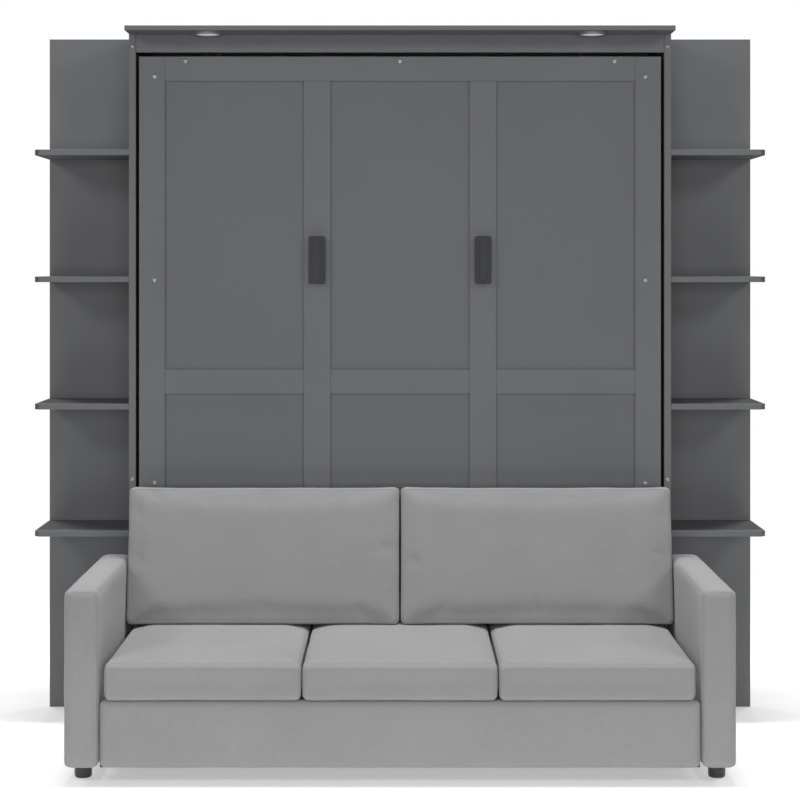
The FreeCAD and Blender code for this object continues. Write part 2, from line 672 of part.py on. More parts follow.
# ---- all the pieces ------------------------------------------------------------------------
def all_pieces():
    pieces = {
        "crown_board": crown(),
        "fascia_board": fascia(),
        "plinth_board": plinth(),
        "back_panel": back_panel(),
        "rear_top_rail": rear_rail(),
        "cabinet_edge_bolts": edge_bolts(),
        "light_rings": pair(light_ring()),
        "light_lenses": pair(light_lens()),
        "pivot_pins": pair(pivot_pin()),
        "door_top_rail": door_top_rail(),
        "door_middle_rail": door_middle_rail(),
        "door_bottom_rail": door_bottom_rail(),
        "door_bolts": door_bolts(),
        "bed_side_rails": pair(side_rail()),
        "bed_end_rails": group([end_rail(HEAD_RAIL_Z), end_rail(FOOT_RAIL_Z)]),
        "bed_plates": pair(bed_plate()),
        "cabinet_plates": pair(cabinet_plate()),
        "slat_battens": slat_battens(),
        "bed_slats": bed_slats(),
        "mattress": mattress(),
        "leg_pivot_bolts": pair(leg_bolt()),
        "sofa_rails": group([front_rail_core(), rear_seat_rail()]),
        "sofa_arm_cores": pair(arm_core()),
        "sofa_front_padding": front_rail_padding(),
        "sofa_seat_slats": seat_slats(),
        "sofa_feet": sofa_feet(),
    }
    for name, column in zip(("left", "centre", "right"), panel_columns()):
        pieces[name + "_door_panel"] = door_panel(*column)

    centre = CENTRE_CUSHION_WIDTH / 2
    inner = centre + CUSHION_GAP
    outer = ARM_INNER - SEAT_CUSHION_ARM_GAP
    pieces["centre_seat_cushion"] = seat_cushion(-centre, centre)

    right_hand = {
        "side_panel": cabinet_side(),
        "shelf_back": shelf_unit_back(),
        "outer_stile": outer_stile(),
        "inner_stile": inner_stile(),
        "handle": handle(),
        "strut_cylinder": strut_cylinder(),
        "strut_rod": strut_rod(),
        "leg": leg(),
        "arm_padding": arm_padding(),
        "seat_cushion": seat_cushion(inner, outer),
        "back_cushion": back_cushion(),
    }
    for number, top in enumerate(SHELF_TOPS, start=1):
        right_hand["shelf_" + str(number)] = shelf(top)
    for side_name, side in SIDES:
        for name, shape in right_hand.items():
            pieces[side_name + "_" + name] = sided(shape, side)
    return pieces


for node, shape in all_pieces().items():
    shape.exportStep("parts/" + node + ".step")
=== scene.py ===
import json
import math

import bmesh
import bpy
import numpy as np
from mathutils import Matrix, Vector
from mathutils.bvhtree import BVHTree


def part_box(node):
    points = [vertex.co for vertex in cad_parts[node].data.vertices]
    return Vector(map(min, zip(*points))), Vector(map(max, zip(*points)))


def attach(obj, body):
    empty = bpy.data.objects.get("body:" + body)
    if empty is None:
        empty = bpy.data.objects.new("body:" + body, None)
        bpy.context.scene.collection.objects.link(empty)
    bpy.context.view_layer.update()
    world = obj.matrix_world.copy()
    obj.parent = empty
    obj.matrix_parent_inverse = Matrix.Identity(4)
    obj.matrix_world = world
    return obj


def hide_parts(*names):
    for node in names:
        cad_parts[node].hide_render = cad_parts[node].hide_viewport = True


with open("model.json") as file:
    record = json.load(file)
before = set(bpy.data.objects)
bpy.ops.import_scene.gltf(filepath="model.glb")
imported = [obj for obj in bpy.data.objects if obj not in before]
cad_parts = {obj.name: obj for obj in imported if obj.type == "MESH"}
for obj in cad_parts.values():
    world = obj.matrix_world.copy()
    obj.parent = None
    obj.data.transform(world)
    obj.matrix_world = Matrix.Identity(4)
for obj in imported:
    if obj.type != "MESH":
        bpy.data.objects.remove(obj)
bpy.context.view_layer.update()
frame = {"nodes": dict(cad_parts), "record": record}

# The looks of the wall bed: its finishes, its upholstery, and the studio around it. Metres.
# +X is to the right seen from the front, +Y points to the wall and +Z is up.

SIDES = (("left", -1), ("right", 1))

# ---- sizes of the upholstery --------------------------------------------------------------
BACK_LEAN = math.radians(13)      # the lean of the back cushions against the door
CUSHION_VOXEL = 0.0095
CUSHION_ROUNDING = 0.016
CLOTH_PRESSURE = 4.0
CLOTH_STIFFNESS = 18.0
CLOTH_BENDING = 0.5
CLOTH_MASS = 0.3
CLOTH_QUALITY = 4
SIMULATED_FRAMES = 20
BACK_CUSHION_FULLNESS = 0.006     # how far a back cushion's top stands over its CAD solid
SEAT_SINK = 0.014                 # how far its underside bulges before it is pressed flat
ARM_FULLNESS = 0.004
TIGHT_WAVES = 0.0008
TIGHT_REACH = 0.05
# Directions of the waves in the covers, in radians per metre.
RIPPLES = (
    (23, 4, 9), (-5, 11, 31), (13, -19, 17), (41, 7, -12), (3, 29, -37), (-27, -8, 45),
)
RIPPLE_SHIFT = 1.7
SEAM_RADIUS = 0.0016
SEAM_STEP = 0.012
SEAM_CORNER_STEPS = 6
SEAT_SEAM_INSET = 0.007
SEAT_SEAM_CORNER = 0.03
BACK_SEAM_INSET = 0.006
BACK_SEAM_CORNER = 0.024
ARM_SEAM_INSET = 0.004
ARM_SEAM_CORNER = 0.012
MATTRESS_GRID = 0.0125
MATTRESS_ROUNDING = 0.03
MATTRESS_INSET = 0.004
QUILT_PITCH = 0.145
QUILT_DEPTH = 0.009
QUILT_START = 0.055               # from the mattress's middle plane to where quilting begins
QUILT_BLEND = 0.02
BINDING_RADIUS = 0.005
BINDING_CORNER = 0.035
BINDING_FROM_FACE = 0.012

# ---- colours, as linear light -------------------------------------------------------------
PAINT = (0.125, 0.129, 0.135)
LINEN = (0.262, 0.262, 0.267)
PINE = (0.55, 0.39, 0.235)
# near black: painted shade on the sofa's frame wood, so the gaps between the cushions read dark
PAINTED_GAP_SHADE = (0.022, 0.02, 0.018)
# a darker copy of PAINT: painted shade for the recessed door panels
SHADED_PANEL_PAINT = (0.114, 0.118, 0.124)
TICKING = (0.5, 0.495, 0.48)
HANDLE_GREY = (0.045, 0.047, 0.05)
FOOT_BLACK = (0.028, 0.028, 0.029)
POWDER_BLACK = (0.03, 0.03, 0.032)
STEEL = (0.62, 0.62, 0.63)
ZINC = (0.3, 0.305, 0.31)
RING_GREY = (0.2, 0.2, 0.205)
FROSTED = (0.5, 0.5, 0.51)


# ---- node helpers -------------------------------------------------------------------------
NOISE_LOW = 0.3
NOISE_HIGH = 0.7
WEAR_AND_HIGHLIGHT_GAIN = 6.0


class Shader:
    """A material's node tree, with short calls to add and join nodes."""

    def __init__(self, name):
        self.material = bpy.data.materials.new(name)
        self.material.use_nodes = True
        self.tree = self.material.node_tree
        self.surface = self.tree.nodes["Principled BSDF"]
        self.place = self.add("ShaderNodeTexCoord").outputs["Object"]

    def add(self, kind, *inputs, **settings):
        node = self.tree.nodes.new(kind)
        for key, value in settings.items():
            setattr(node, key, value)
        for socket, value in zip(node.inputs, inputs):
            self.put(socket, value)
        return node

    def put(self, socket, value):
        if isinstance(value, bpy.types.NodeSocket):
            self.tree.links.new(value, socket)
        elif value is not None:
            socket.default_value = value

    def math(self, operation, a, b=None):
        return self.add("ShaderNodeMath", a, b, operation=operation).outputs[0]

    def stretched(self, scale):
        """Object coordinates, scaled along each axis."""
        mapping = self.add("ShaderNodeMapping", self.place)
        mapping.inputs["Scale"].default_value = scale
        return mapping.outputs[0]

    def noise(self, scale, detail=3.0):
        """Smooth noise from 0 to 1. scale is features per metre along each axis."""
        node = self.add("ShaderNodeTexNoise")
        self.put(node.inputs["Vector"], self.stretched(scale))
        node.inputs["Scale"].default_value = 1.0
        node.inputs["Detail"].default_value = detail
        node.inputs["Roughness"].default_value = 0.55
        return node.outputs["Fac"]

    def spread(self, value, low, high):
        """value, from the low to the high end of a noise's usual range, becomes low to high."""
        node = self.add("ShaderNodeMapRange", value)
        node.inputs["From Min"].default_value = NOISE_LOW
        node.inputs["From Max"].default_value = NOISE_HIGH
        node.inputs["To Min"].default_value = low
        node.inputs["To Max"].default_value = high
        return node.outputs[0]

    def tinted(self, colour, shade):
        """colour times a shade that varies over the surface."""
        node = self.add("ShaderNodeVectorMath", operation="SCALE")
        node.inputs[0].default_value = colour
        self.put(node.inputs["Scale"], shade)
        return node.outputs[0]

    def bump(self, height, distance, strength=1.0):
        node = self.add("ShaderNodeBump")
        node.inputs["Strength"].default_value = strength
        node.inputs["Distance"].default_value = distance
        self.put(node.inputs["Height"], height)
        self.put(self.surface.inputs["Normal"], node.outputs[0])

    def edge_wear_and_highlight(self, radius, amount):
        """About amount within radius of a sharp edge, in patches, and 0 elsewhere: a lightening
        of the paint that is partly wear and partly a painted highlight.
        """
        soft = self.add("ShaderNodeBevel", samples=4)
        soft.inputs["Radius"].default_value = radius
        true = self.add("ShaderNodeNewGeometry").outputs["True Normal"]
        facing = self.add("ShaderNodeVectorMath", soft.outputs[0], true, operation="DOT_PRODUCT")
        turned = self.math("SUBTRACT", 1.0, facing.outputs["Value"])
        patchy = self.spread(self.noise((14, 14, 14), detail=4), 0.4, 1.6)
        grown = self.math("MINIMUM", self.math("MULTIPLY", turned, WEAR_AND_HIGHLIGHT_GAIN), 1.0)
        return self.math("MULTIPLY", self.math("MULTIPLY", grown, patchy), amount)

    def finish(self, **sockets):
        for name, value in sockets.items():
            self.put(self.surface.inputs[name.replace("_", " ")], value)
        return self.material


def along(axis, fine, coarse):
    """Features per metre: fine across the grain and coarse along it."""
    scale = [fine, fine, fine]
    scale["XYZ".index(axis)] = coarse
    return scale


# ---- finishes -----------------------------------------------------------------------------
# lighter paint along sharp edges: partly wear, partly a painted highlight
WEAR_AND_HIGHLIGHT_RADIUS = 0.0025
WEAR_AND_HIGHLIGHT_AMOUNT = 0.16
LINEN_PITCH = 0.0021
KNIT_PITCH = 0.0032
# strength of a painted glow: the lens is made to shine though its light is off
LENS_PAINTED_GLOW = 0.6


def painted_wood(axis, paint=PAINT, name="painted_wood_"):
    """Dark grey satin paint on board, with the grain just showing through along axis."""
    s = Shader(name + axis)
    grain = s.noise(along(axis, 420, 9), detail=4)
    cloud = s.noise((2.2, 2.2, 2.2), detail=2)
    pores = s.noise(along(axis, 1500, 60), detail=2)
    shade = s.math("ADD", s.spread(grain, -0.035, 0.035), s.spread(cloud, 0.975, 1.025))
    roughness = s.spread(grain, 0.42, 0.5)
    # painted highlight along the edges, mixed with lighter wear
    worn_and_highlit = s.edge_wear_and_highlight(WEAR_AND_HIGHLIGHT_RADIUS, WEAR_AND_HIGHLIGHT_AMOUNT)
    s.bump(s.math("ADD", grain, s.math("MULTIPLY", pores, 0.5)), 0.00022, 0.6)
    colour = s.tinted(paint, s.math("ADD", shade, worn_and_highlit))
    return s.finish(Base_Color=colour, Roughness=roughness, Specular_IOR_Level=0.42)


def bare_wood(axis, stain=PINE, name="bare_wood_"):
    """Planed pine: growth rings stretched along axis, with fine fibres."""
    s = Shader(name + axis)
    bend = s.noise(along(axis, 3, 0.8), detail=2)
    rings = s.add("ShaderNodeTexWave", wave_type="RINGS", rings_direction=axis)
    s.put(rings.inputs["Vector"], s.stretched(along(axis, 9, 0.35)))
    rings.inputs["Scale"].default_value = 3.2
    rings.inputs["Distortion"].default_value = 5.0
    rings.inputs["Detail"].default_value = 2.0
    fibre = s.noise(along(axis, 900, 12), detail=3)
    shade = s.math("ADD", s.spread(rings.outputs["Fac"], 0.9, 1.06), s.spread(bend, -0.06, 0.06))
    shade = s.math("ADD", shade, s.spread(fibre, -0.05, 0.05))
    s.bump(fibre, 0.0003, 0.5)
    colour = s.tinted(stain, shade)
    return s.finish(Base_Color=colour, Roughness=s.spread(fibre, 0.5, 0.64))


def stripes(s, axis, pitch):
    """A thread profile across axis, from 0 to 1."""
    parts = s.add("ShaderNodeSeparateXYZ", s.place)
    turns = s.math("MULTIPLY", parts.outputs["XYZ".index(axis)], math.tau / pitch)
    return s.math("ADD", s.math("MULTIPLY", s.math("SINE", turns), 0.5), 0.5)


def weave(s, pitch):
    """A plain weave seen on whichever way the surface faces."""
    facing = s.add("ShaderNodeSeparateXYZ", s.add("ShaderNodeTexCoord").outputs["Normal"])
    height = None
    for number, axis in enumerate("XYZ"):
        across = [stripes(s, other, pitch) for other in "XYZ" if other != axis]
        over = s.math("MAXIMUM", *across)
        share = s.math("MULTIPLY", facing.outputs[number], facing.outputs[number])
        part = s.math("MULTIPLY", over, share)
        height = part if height is None else s.math("ADD", height, part)
    return height


def linen():
    """Light grey linen weave with slubs along the threads and faint cloudiness."""
    s = Shader("linen_weave")
    slub_x = s.noise((26, 900, 900), detail=3)
    slub_z = s.noise((900, 900, 30), detail=3)
    cloud = s.noise((5, 5, 5), detail=3)
    flecks = s.noise((700, 700, 700), detail=1)
    shade = s.math("ADD", s.spread(slub_x, -0.06, 0.06), s.spread(slub_z, -0.045, 0.045))
    shade = s.math("ADD", shade, s.spread(cloud, 0.97, 1.03))
    shade = s.math("ADD", shade, s.spread(flecks, -0.05, 0.05))
    threads = weave(s, LINEN_PITCH)
    height = s.math("ADD", threads, s.math("ADD", slub_x, slub_z))
    s.bump(height, 0.0007, 0.5)
    shade = s.math("ADD", shade, s.math("MULTIPLY", threads, 0.05))
    colour = s.tinted(LINEN, shade)
    return s.finish(
        Base_Color=colour, Roughness=s.spread(slub_x, 0.84, 0.94), Sheen_Weight=0.25,
        Sheen_Roughness=0.45, Specular_IOR_Level=0.2,
    )


def ticking():
    """White quilted mattress cloth, a knit with a soft sheen."""
    s = Shader("mattress_ticking")
    knit = weave(s, KNIT_PITCH)
    cloud = s.noise((6, 6, 6), detail=2)
    shade = s.math("ADD", s.spread(cloud, 0.95, 1.0), s.math("MULTIPLY", knit, 0.05))
    s.bump(knit, 0.0006, 0.5)
    colour = s.tinted(TICKING, shade)
    return s.finish(Base_Color=colour, Roughness=s.spread(cloud, 0.8, 0.9), Sheen_Weight=0.2)


def moulded(name, colour, roughness, gloss=0.5):
    """Moulded plastic: a fine even texture and a slight cloudiness."""
    s = Shader(name)
    texture = s.noise((1900, 1900, 1900), detail=2)
    cloud = s.noise((30, 30, 30), detail=2)
    s.bump(texture, 0.00012, 0.6)
    tint = s.tinted(colour, s.spread(cloud, 0.94, 1.06))
    rough = s.spread(cloud, roughness - 0.04, roughness + 0.05)
    return s.finish(Base_Color=tint, Roughness=rough, Specular_IOR_Level=gloss)


def powder_coat():
    """Black powder coat on steel, with its fine orange peel."""
    s = Shader("powder_coat")
    texture = s.noise((1100, 1100, 1100), detail=2)
    cloud = s.noise((12, 12, 12), detail=2)
    s.bump(texture, 0.0002, 0.7)
    tint = s.tinted(POWDER_BLACK, s.spread(cloud, 0.92, 1.08))
    return s.finish(Base_Color=tint, Roughness=s.spread(texture, 0.42, 0.52))


def metal(name, colour, roughness):
    """Bare or plated metal, with fine brushing and small stains."""
    s = Shader(name)
    brush = s.noise((1400, 1400, 90), detail=2)
    stain = s.noise((45, 45, 45), detail=3)
    s.bump(brush, 0.00005, 0.5)
    tint = s.tinted(colour, s.spread(stain, 0.93, 1.05))
    rough = s.spread(brush, roughness - 0.05, roughness + 0.07)
    return s.finish(Base_Color=tint, Roughness=rough, Metallic=1.0)


def frosted_lens():
    """The lens of a light, frosted, with a faint painted glow that brightens it though the light
    is off.
    """
    s = Shader("frosted_lens")
    grain = s.noise((1600, 1600, 1600), detail=2)
    s.bump(grain, 0.0002, 0.6)
    tint = s.tinted(FROSTED, s.spread(s.noise((40, 40, 40)), 0.95, 1.04))
    # the emission is a painted glow that only brightens the lens
    return s.finish(
        Base_Color=tint, Roughness=s.spread(grain, 0.25, 0.35), Emission_Color=tint,
        Emission_Strength=LENS_PAINTED_GLOW,
    )


# Nodes of several boards, whose grain doesn't run along the longest side of the node's box.
GRAIN_AXES = {
    "bed_side_rails": "Z", "slat_battens": "Z",
    "bed_slats": "X", "bed_end_rails": "X", "sofa_rails": "X", "door_middle_rail": "X",
    "sofa_seat_slats": "Y",
}


def grain_axis(name):
    """The axis of a board's grain: its length, unless GRAIN_AXES says another."""
    low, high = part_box(name)
    size = high - low
    longest = "XYZ"[max(range(3), key=lambda number: size[number])]
    return GRAIN_AXES.get(name, longest)


def dress_cad_nodes():
    """Gives every CAD node its finish, with boards grained along their length."""
    wood = {axis: painted_wood(axis) for axis in "XYZ"}
    # the door panels get a darker copy of the paint, painted shade in their recesses
    shaded_panel = painted_wood("Z", SHADED_PANEL_PAINT, "panel_board_")
    pine = {axis: bare_wood(axis) for axis in "XYZ"}
    # the sofa's frame wood is near black, painted shade for the gaps between the cushions
    gap_shaded = {axis: bare_wood(axis, PAINTED_GAP_SHADE, "stained_wood_") for axis in "XYZ"}
    plain = {
        "linen": linen(),
        "mattress_ticking": ticking(),
        "handle_plastic": moulded("handle_satin", HANDLE_GREY, 0.5, gloss=0.2),
        "foot_plastic": moulded("foot_gloss", FOOT_BLACK, 0.28),
        "black_steel": powder_coat(),
        "chrome": metal("polished_rod", STEEL, 0.14),
        "zinc": metal("zinc_plate", ZINC, 0.42),
        "light_ring": moulded("ring_satin", RING_GREY, 0.45),
        "lens": frosted_lens(),
    }
    for entry in frame["record"]["subparts"]:
        name = entry["node"]
        slot = entry["material_slot"]
        if slot not in ("painted_wood", "bare_wood"):
            finish = plain[slot]
        elif name.endswith("door_panel"):
            finish = shaded_panel
        elif name.startswith("sofa_"):
            finish = gap_shaded[grain_axis(name)]
        elif slot == "painted_wood":
            finish = wood[grain_axis(name)]
        else:
            finish = pine[grain_axis(name)]
        node = frame["nodes"][name]
        node.data.materials.clear()
        node.data.materials.append(finish)
        for polygon in node.data.polygons:
            polygon.material_index = 0
    return plain


# ---- upholstery ---------------------------------------------------------------------------
def new_object(name, mesh):
    made = bpy.data.objects.new(name, mesh)
    bpy.context.scene.collection.objects.link(made)
    return made


def final_mesh(made):
    """Applies the object's modifiers to its mesh."""
    graph = bpy.context.evaluated_depsgraph_get()
    mesh = bpy.data.meshes.new_from_object(made.evaluated_get(graph))
    made.modifiers.clear()
    old = made.data
    made.data = mesh
    bpy.data.meshes.remove(old)


def points_of(mesh):
    flat = np.empty(len(mesh.vertices) * 3)
    mesh.vertices.foreach_get("co", flat)
    return flat.reshape(-1, 3)


def normals_of(mesh):
    flat = np.empty(len(mesh.vertices) * 3)
    mesh.vertex_normals.foreach_get("vector", flat)
    return flat.reshape(-1, 3)


def set_points(mesh, points):
    mesh.vertices.foreach_set("co", points.ravel())
    mesh.update()


def smooth(made):
    made.data.polygons.foreach_set("use_smooth", [True] * len(made.data.polygons))
    made.data.update()


def rounded_hull(name, corners, rounding, voxel):
    """A closed form over eight corners, with rounded edges, remeshed to even quads."""
    bm = bmesh.new()
    for corner in corners:
        bm.verts.new(corner)
    bmesh.ops.convex_hull(bm, input=list(bm.verts))
    coplanar = math.radians(1)
    bmesh.ops.dissolve_limit(
        bm, angle_limit=coplanar, verts=list(bm.verts), edges=list(bm.edges)
    )
    bmesh.ops.bevel(
        bm, geom=list(bm.edges), offset=rounding, segments=4, profile=0.5, affect="EDGES"
    )
    mesh = bpy.data.meshes.new(name)
    bm.to_mesh(mesh)
    bm.free()
    made = new_object(name, mesh)
    remesh = made.modifiers.new("Remesh", "REMESH")
    remesh.mode = "VOXEL"
    remesh.voxel_size = voxel
    final_mesh(made)
    return made


def box_corners(low, high):
    return [
        (x, y, z) for x in (low.x, high.x) for y in (low.y, high.y) for z in (low.z, high.z)
    ]


def inset_box(low, high, inset):
    """The corners of the box, moved inwards by inset along each axis."""
    step = Vector((inset, inset, inset))
    return low + step, high - step


def inflate(made, cap):
    """Blows the cover up as cloth, and lets no point move further than cap allows it."""
    start = points_of(made.data)
    cloth = made.modifiers.new("Cloth", "CLOTH")
    settings = cloth.settings
    settings.quality = CLOTH_QUALITY
    settings.mass = CLOTH_MASS
    settings.tension_stiffness = CLOTH_STIFFNESS
    settings.compression_stiffness = CLOTH_STIFFNESS
    settings.shear_stiffness = CLOTH_STIFFNESS / 3
    settings.bending_stiffness = CLOTH_BENDING
    settings.use_pressure = True
    settings.uniform_pressure_force = CLOTH_PRESSURE
    settings.effector_weights.gravity = 0.0
    cloth.collision_settings.use_collision = False
    cloth.collision_settings.use_self_collision = False
    scene = bpy.context.scene
    for number in range(1, SIMULATED_FRAMES + 1):
        scene.frame_set(number)
    final_mesh(made)
    scene.frame_set(1)
    moved = points_of(made.data) - start
    length = np.linalg.norm(moved, axis=1)
    limit = cap(start)
    share = np.minimum(1.0, limit / np.maximum(length, 1e-9))
    set_points(made.data, start + moved * share[:, None])


def swell(made, cap):
    """Lets a tight cover stand off its core by what cap allows at each point."""
    points = points_of(made.data)
    normals = normals_of(made.data)
    set_points(made.data, points + normals * cap(points)[:, None])


def edge_distance(points, low, high):
    """How far each point is from the nearest edge of the box, over the face it is on."""
    gaps = np.sort(np.minimum(points - np.array(low), np.array(high) - points), axis=1)
    return np.maximum(gaps[:, 1], 0.0)


def fit(made, low, high):
    """Stretches the mesh a few millimetres, so that its box is exactly low to high."""
    points = points_of(made.data)
    start, size = points.min(0), np.ptp(points, axis=0)
    points = np.array(low) + (points - start) / size * np.array(high - low)
    set_points(made.data, points)


def ripple(made, height):
    """Slight waves in a cover, as cloth has over a soft filling."""
    points = points_of(made.data)
    wave = np.zeros(len(points))
    for number, direction in enumerate(RIPPLES):
        wave += np.sin(points @ np.array(direction) + number * RIPPLE_SHIFT)
    rise = wave * height / len(RIPPLES)
    set_points(made.data, points + normals_of(made.data) * rise[:, None])


def pad(name, corners, low, high, rounding, face_cap, edge_cap=0.003, inset=0.006, reach=0.09,
        waves=0.0012, sink=0.0, blown=True):
    """A stuffed cover: full in the middle of its faces and held in along its edges.

    Its points rise by edge_cap at the edges and by face_cap from reach inwards. A cover that
    isn't blown is a tight one, which follows its core.
    """
    middle = (low + high) / 2
    size = high - low
    shrink = Vector(1 - 2 * inset / size[axis] for axis in range(3))
    corners = [middle + (Vector(corner) - middle) * shrink for corner in corners]
    made = rounded_hull(name, corners, rounding, CUSHION_VOXEL)

    def cap(points):
        rise = np.clip(edge_distance(points, low, high) / reach, 0, 1)
        return edge_cap + (face_cap - edge_cap) * np.sin(rise * math.pi / 2)

    if blown:
        inflate(made, cap)
    elif not blown:
        swell(made, cap)
    made.modifiers.new("Subdivision", "SUBSURF").levels = 1
    final_mesh(made)
    ripple(made, waves)
    fit(made, low - Vector((0, 0, sink)), high)
    smooth(made)
    return made


def press_flat(made, level):
    """The underside lies flat on what carries it."""
    points = points_of(made.data)
    points[:, 2] = np.maximum(points[:, 2], level)
    set_points(made.data, points)


def loop_points(low, high, plane, level, corner):
    """A rounded rectangle of points, square to the axis plane, at that level."""
    first, second = [axis for axis in range(3) if axis != plane]
    corners = (
        (high[first], high[second], 0), (low[first], high[second], 1),
        (low[first], low[second], 2), (high[first], low[second], 3),
    )
    outline = []
    for a, b, quarter in corners:
        centre_a = a - corner if quarter in (0, 3) else a + corner
        centre_b = b - corner if quarter in (0, 1) else b + corner
        for step in range(SEAM_CORNER_STEPS + 1):
            turn = (quarter + step / SEAM_CORNER_STEPS) * math.pi / 2
            spot = (centre_a + corner * math.cos(turn), centre_b + corner * math.sin(turn))
            outline.append(spot)
    points = []
    for number, (a, b) in enumerate(outline):
        next_a, next_b = outline[(number + 1) % len(outline)]
        count = max(1, int(math.hypot(next_a - a, next_b - b) / SEAM_STEP))
        for step in range(count):
            point = [0.0, 0.0, 0.0]
            point[plane] = level
            point[first] = a + (next_a - a) * step / count
            point[second] = b + (next_b - b) * step / count
            points.append(Vector(point))
    return points


def seam(name, cover, points, finish, radius=SEAM_RADIUS, sink=0.35):
    """A sewn edge: a thin cord of cloth that follows the cover's surface."""
    tree = BVHTree.FromObject(cover, bpy.context.evaluated_depsgraph_get())
    curve = bpy.data.curves.new(name, "CURVE")
    curve.dimensions = "3D"
    curve.bevel_depth = radius
    curve.bevel_resolution = 2
    spline = curve.splines.new("POLY")
    spline.points.add(len(points) - 1)
    for place, point in zip(spline.points, points):
        spot, normal, _, _ = tree.find_nearest(point)
        place.co = (*(spot - normal * radius * sink), 1.0)
    spline.use_cyclic_u = True
    line = new_object(name + "_line", curve)
    graph = bpy.context.evaluated_depsgraph_get()
    mesh = bpy.data.meshes.new_from_object(line.evaluated_get(graph))
    bpy.data.objects.remove(line)
    made = new_object(name, mesh)
    made.data.materials.append(finish)
    smooth(made)
    return made


def upholster(cover, finish, node, body):
    """Makes the cover a padded piece that stands for a CAD node."""
    cover.data.materials.append(finish)
    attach(cover, body)
    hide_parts(node)


def add_seam(cover, label, points, finish, body):
    made = seam(cover.name + "_" + label, cover, points, finish)
    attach(made, body)


def seat_cushions(finish):
    """Three box cushions with a seam round the top and the bottom, flat where they lie."""
    for place in ("left", "centre", "right"):
        node = place + "_seat_cushion"
        low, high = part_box(node)
        cover = pad(node + "_cover", box_corners(low, high), low, high, CUSHION_ROUNDING,
                    face_cap=0.011, edge_cap=0.004, sink=SEAT_SINK)
        press_flat(cover, low.z)
        upholster(cover, finish, node, "root")
        inner_low, inner_high = inset_box(low, high, SEAT_SEAM_INSET)
        for label, level in (("top_seam", inner_high.z), ("bottom_seam", inner_low.z)):
            edge = loop_points(inner_low, inner_high, 2, level, SEAT_SEAM_CORNER)
            add_seam(cover, label, edge, finish, "root")


def leaning_box(node, turn):
    """The box of a leaning node, in axes that lean with it."""
    co = points_of(frame["nodes"][node].data) @ np.array(turn.to_3x3())
    return Vector(co.min(0)), Vector(co.max(0))


def back_cushions(finish):
    """Two cushions that lean on the door and stand on a base cut level with the seat."""
    turn = Matrix.Rotation(-BACK_LEAN, 4, "X")
    for side, _ in SIDES:
        node = side + "_back_cushion"
        body = side + "_back_pad"
        low, high = leaning_box(node, turn)
        high.z += BACK_CUSHION_FULLNESS
        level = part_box(node)[0].z
        corners = []
        for x in (low.x, high.x):
            for y in (low.y, high.y):
                foot = (level + y * math.sin(BACK_LEAN)) / math.cos(BACK_LEAN)
                corners += [(x, y, foot), (x, y, high.z)]
        cover = pad(node + "_cover", corners, low, high, CUSHION_ROUNDING, face_cap=0.012)
        cover.data.transform(turn)
        press_flat(cover, level)
        upholster(cover, finish, node, body)
        inner_low, inner_high = inset_box(low, high, BACK_SEAM_INSET)
        for label, depth in (("front_seam", inner_low.y), ("rear_seam", inner_high.y)):
            edge = loop_points(inner_low, inner_high, 1, depth, BACK_SEAM_CORNER)
            add_seam(cover, label, [turn @ point for point in edge], finish, body)


def arms_and_front(finish):
    """Tight covers on the arms and the front rail, with a seam round the face of each arm."""
    under = Vector((0, 0, 0.001))
    for side, sign in SIDES:
        node = side + "_arm_padding"
        low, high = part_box(node)
        low = low - under - Vector((ARM_FULLNESS if sign < 0 else 0, 0.002, 0))
        high = high + Vector((ARM_FULLNESS if sign > 0 else 0, 0, 0.001))
        cover = pad(node + "_cover", box_corners(low, high), low, high, rounding=0.012,
                    inset=0.003, edge_cap=0.002, face_cap=0.004, reach=TIGHT_REACH,
                    waves=TIGHT_WAVES, blown=False)
        upholster(cover, finish, node, "root")
        inner_low, inner_high = inset_box(low, high, ARM_SEAM_INSET)
        edge = loop_points(inner_low, inner_high, 1, inner_low.y, ARM_SEAM_CORNER)
        add_seam(cover, "front_seam", edge, finish, "root")
    node = "sofa_front_padding"
    low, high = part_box(node)
    ends = Vector((0.002, 0, 0))
    low = low - under - ends
    high = high + ends
    cover = pad(node + "_cover", box_corners(low, high), low, high, rounding=0.007,
                inset=0.002, edge_cap=0.001, face_cap=0.003, reach=TIGHT_REACH,
                waves=TIGHT_WAVES, blown=False)
    upholster(cover, finish, node, "root")


def mattress(finish):
    """A quilted mattress: diamond stitching on both faces, and a bound edge round each."""
    low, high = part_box("mattress")
    inner_low, inner_high = inset_box(low, high, MATTRESS_INSET)
    corners = box_corners(inner_low, inner_high)
    cover = rounded_hull("mattress_cover", corners, MATTRESS_ROUNDING, MATTRESS_GRID)
    cover.modifiers.new("Subdivision", "SUBSURF").levels = 1
    final_mesh(cover)
    points = points_of(cover.data)
    middle = (np.array(low) + np.array(high)) / 2
    across = (points[:, 0] - middle[0]) / QUILT_PITCH
    length = (points[:, 2] - middle[2]) / QUILT_PITCH
    one_way = np.sin(math.pi * (across + length) / 2)
    other_way = np.sin(math.pi * (across - length) / 2)
    rise = QUILT_DEPTH * np.sqrt(np.abs(one_way * other_way))
    face = np.sign(points[:, 1] - middle[1])
    depth = np.abs(points[:, 1] - middle[1])
    on_face = np.clip((depth - QUILT_START) / QUILT_BLEND, 0, 1)
    points[:, 1] += face * on_face * rise
    set_points(cover.data, points)
    smooth(cover)
    upholster(cover, finish, "mattress", "bed")
    front = low.y + BINDING_FROM_FACE
    rear = high.y - BINDING_FROM_FACE
    for label, level in (("front_binding", front), ("rear_binding", rear)):
        edge = loop_points(inner_low, inner_high, 1, level, BINDING_CORNER)
        made = seam("mattress_" + label, cover, edge, finish, BINDING_RADIUS, sink=0.3)
        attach(made, "bed")


# ---- turned and moulded pieces ------------------------------------------------------------
SMOOTH_ANGLE = math.radians(35)
SCREW_SEGMENTS = 28

